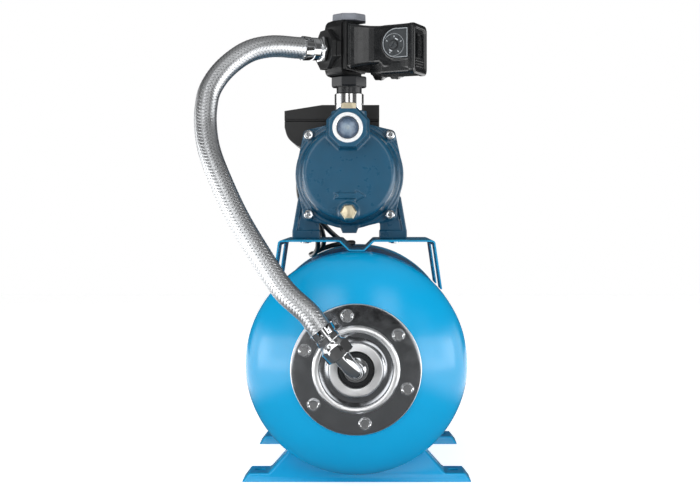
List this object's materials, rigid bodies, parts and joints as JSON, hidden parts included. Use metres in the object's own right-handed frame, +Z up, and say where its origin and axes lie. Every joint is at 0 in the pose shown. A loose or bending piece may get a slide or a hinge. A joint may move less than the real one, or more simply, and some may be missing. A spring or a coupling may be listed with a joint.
{
  "type": "booster pump set",
  "caption": "Jet pump with finned motor bolted above a horizontal bladder tank, with braided hose, delivery manifold, check valve and adjustable pressure switch.",
  "frame": {"origin": "on the floor, under the middle of the rigid pieces' box", "axes": "+Z up, the set's front (suction, flange and elbow) looks along -Y, +X to the right seen from the front"},
  "size_m": [0.3349, 0.6495, 0.584],
  "materials": {
    "tank_enamel": "gloss stoved enamel on pressed steel",
    "platform_enamel": "gloss enamel on bent sheet",
    "pump_enamel": "satin enamel on castings",
    "zinc_plate": "bright zinc on pressed steel",
    "chrome_plate": "polished plating",
    "brass": "pale machined brass",
    "bright_steel": "machined steel",
    "black_steel": "blackened fasteners",
    "aluminium": "as cast",
    "copper": "varnished windings and core",
    "black_plastic": "moulded, lightly textured",
    "dial_grey": "moulded",
    "works_plastic": "moulded",
    "smoky_plastic": "translucent transit plug",
    "rubber": "moulded and extruded",
    "steel_braid": "woven stainless braid"
  },
  "bodies": {
    "pump_set": {"air_valve_cap": "black_plastic", "air_valve_stem": "brass", "bladder": "rubber", "braided_hose": "steel_braid", "capacitor": "black_plastic", "casing_gasket": "rubber", "counterflange": "zinc_plate", "delivery_nipple": "chrome_plate", "dial_plate": "dial_grey", "diffuser": "works_plastic", "drain_plug": "brass", "ejector_body": "works_plastic", "fan_cover": "black_plastic", "flange_bolt_1": "zinc_plate", "flange_bolt_2": "zinc_plate", "flange_bolt_3": "zinc_plate", "flange_bolt_4": "zinc_plate", "flange_bolt_5": "zinc_plate", "flange_bolt_6": "zinc_plate", "front_bearing": "bright_steel", "front_foot": "tank_enamel", "hose_end_lower": "chrome_plate", "hose_end_upper": "chrome_plate", "mains_coil": "rubber", "mains_lead": "rubber", "mains_plug": "rubber", "manifold_body": "black_plastic", "motor_bracket": "pump_enamel", "motor_end_shield": "aluminium", "motor_gland": "black_plastic", "motor_housing": "pump_enamel", "motor_lead": "rubber", "outlet_plug": "black_plastic", "platform_bolt_1": "black_steel", "platform_bolt_2": "black_steel", "port_fitting": "black_plastic", "priming_plug": "brass", "pump_casing": "pump_enamel", "pump_platform": "platform_enamel", "rear_bearing": "bright_steel", "rear_foot": "tank_enamel", "stator": "copper", "suction_cap": "smoky_plastic", "switch_base": "black_plastic", "switch_end_cover": "black_plastic", "switch_housing": "black_plastic", "tank_elbow": "chrome_plate", "tank_shell": "tank_enamel", "terminal_box": "black_plastic", "terminal_box_lid": "black_plastic", "union_nut": "black_plastic"},
    "rotor": {"rotor_shaft": "bright_steel", "impeller": "works_plastic", "shaft_seal": "rubber", "cooling_fan": "black_plastic"},
    "dial": {"adjusting_dial": "dial_grey"},
    "plunger": {"switch_plunger": "works_plastic"},
    "rocker": {"contact_rocker": "brass"},
    "check_valve": {"check_valve_poppet": "brass"},
    "valve_pin": {"air_valve_core": "bright_steel"}
  },
  "joints": [
    {"name": "rotor_spin", "type": "hinge", "parent": "pump_set", "child": "rotor", "pos_m": [-0.01, -0.065, 0.382], "axis": [0, 1, 0], "continuous": true},
    {"name": "dial_turn", "type": "hinge", "parent": "pump_set", "child": "dial", "pos_m": [0.05395, -0.11848, 0.54], "axis": [-0.4067, -0.9135, 0], "range_deg": [-135, 135]},
    {"name": "plunger_slide", "type": "slide", "parent": "pump_set", "child": "plunger", "axis": [0.9135, -0.4067, 0], "range_m": [0, 0.001], "stiffness_N_per_m": 2000},
    {"name": "rocker_tilt", "type": "hinge", "parent": "pump_set", "child": "rocker", "pos_m": [0.02654, -0.10627, 0.528], "axis": [0.4067, 0.9135, 0], "range_deg": [0, 6]},
    {"name": "check_valve_lift", "type": "slide", "parent": "pump_set", "child": "check_valve", "axis": [0, 0, 1], "range_m": [0, 0.006], "stiffness_N_per_m": 40},
    {"name": "valve_pin_press", "type": "slide", "parent": "pump_set", "child": "valve_pin", "axis": [0, -1, 0], "range_m": [0, 0.0015], "stiffness_N_per_m": 300}
  ],
  "couplings": [
    {"joint": "rocker_tilt", "follows": "plunger_slide", "rad_per_m": 100}
  ]
}
